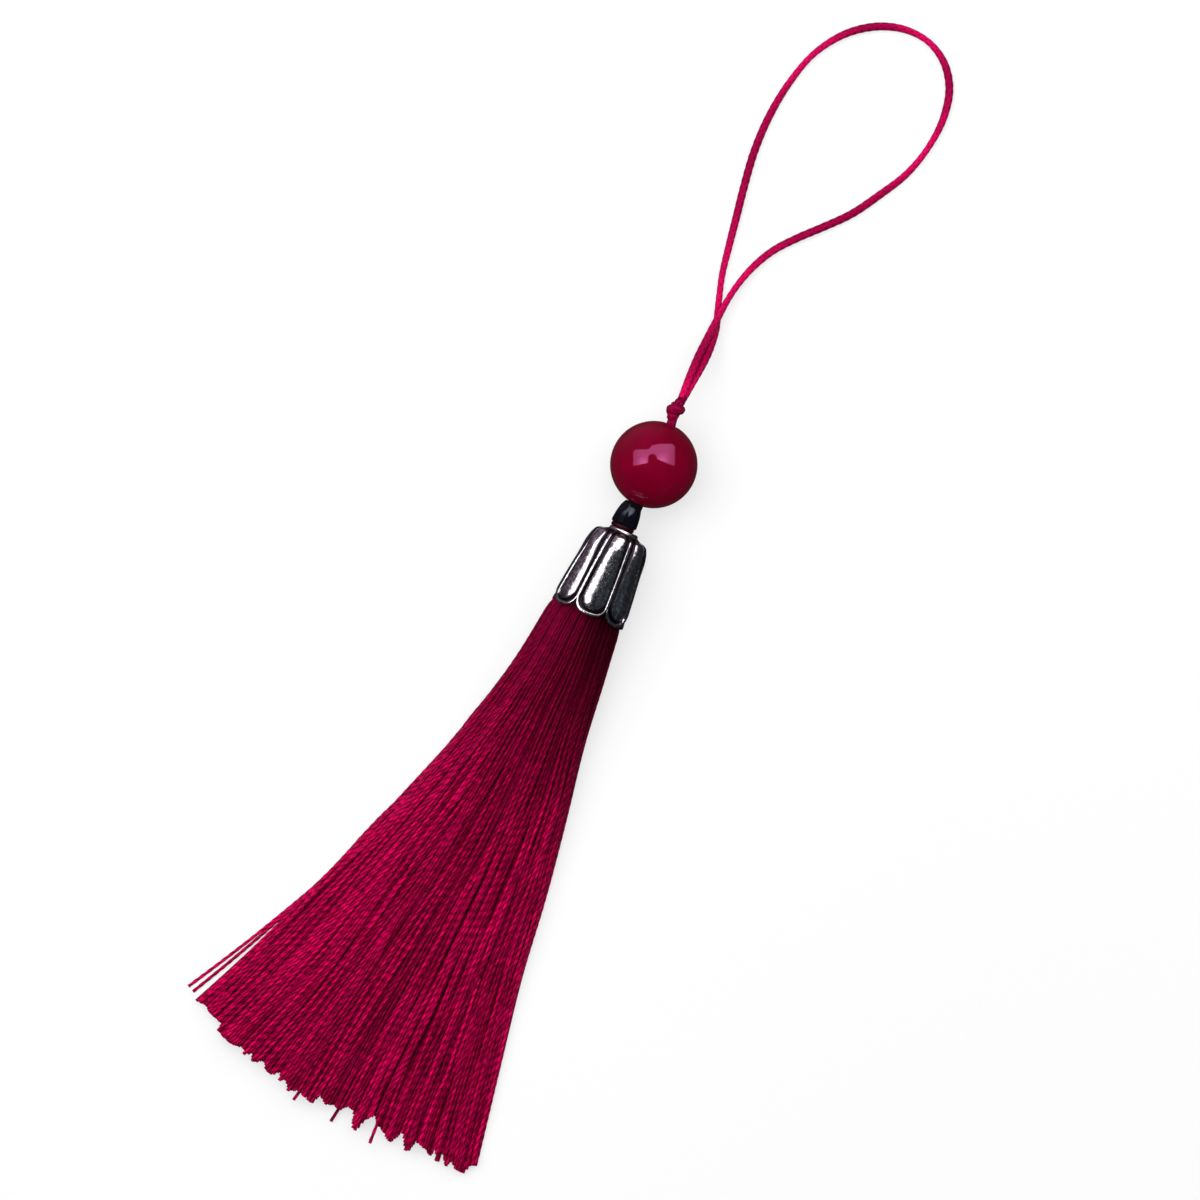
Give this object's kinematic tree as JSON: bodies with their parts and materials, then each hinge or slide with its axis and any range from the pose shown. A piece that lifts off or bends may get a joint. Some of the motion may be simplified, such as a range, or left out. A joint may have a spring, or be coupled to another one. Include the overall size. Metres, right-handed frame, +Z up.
{
  "type": "chinese knot tassel",
  "caption": "Hanging tassel with a knotted cord loop, round red bead, small black bead, silver petal cap and a fanned crimson fringe.",
  "frame": {"origin": "middle of the red bead's flat resting spot, on the surface that the part lies on", "axes": "+Y along the strung pieces towards the hanging loop, -Y towards the fringe, +X across, +Z up"},
  "size_m": [0.0473, 0.1706, 0.0119],
  "materials": {
    "crimson_cord": "satin braided",
    "crimson_thread": "satin twisted",
    "red_gloss": "polished",
    "black_gloss": "polished",
    "maroon": "satin",
    "antique_silver": "antiqued silver"
  },
  "bodies": {
    "root": {"hanging_loop": "crimson_cord", "loop_knot": "crimson_cord", "red_bead": "red_gloss", "small_bead": "black_gloss", "neck_ring": "maroon", "petal_cap": "antique_silver", "tassel": "crimson_thread"}
  },
  "joints": []
}
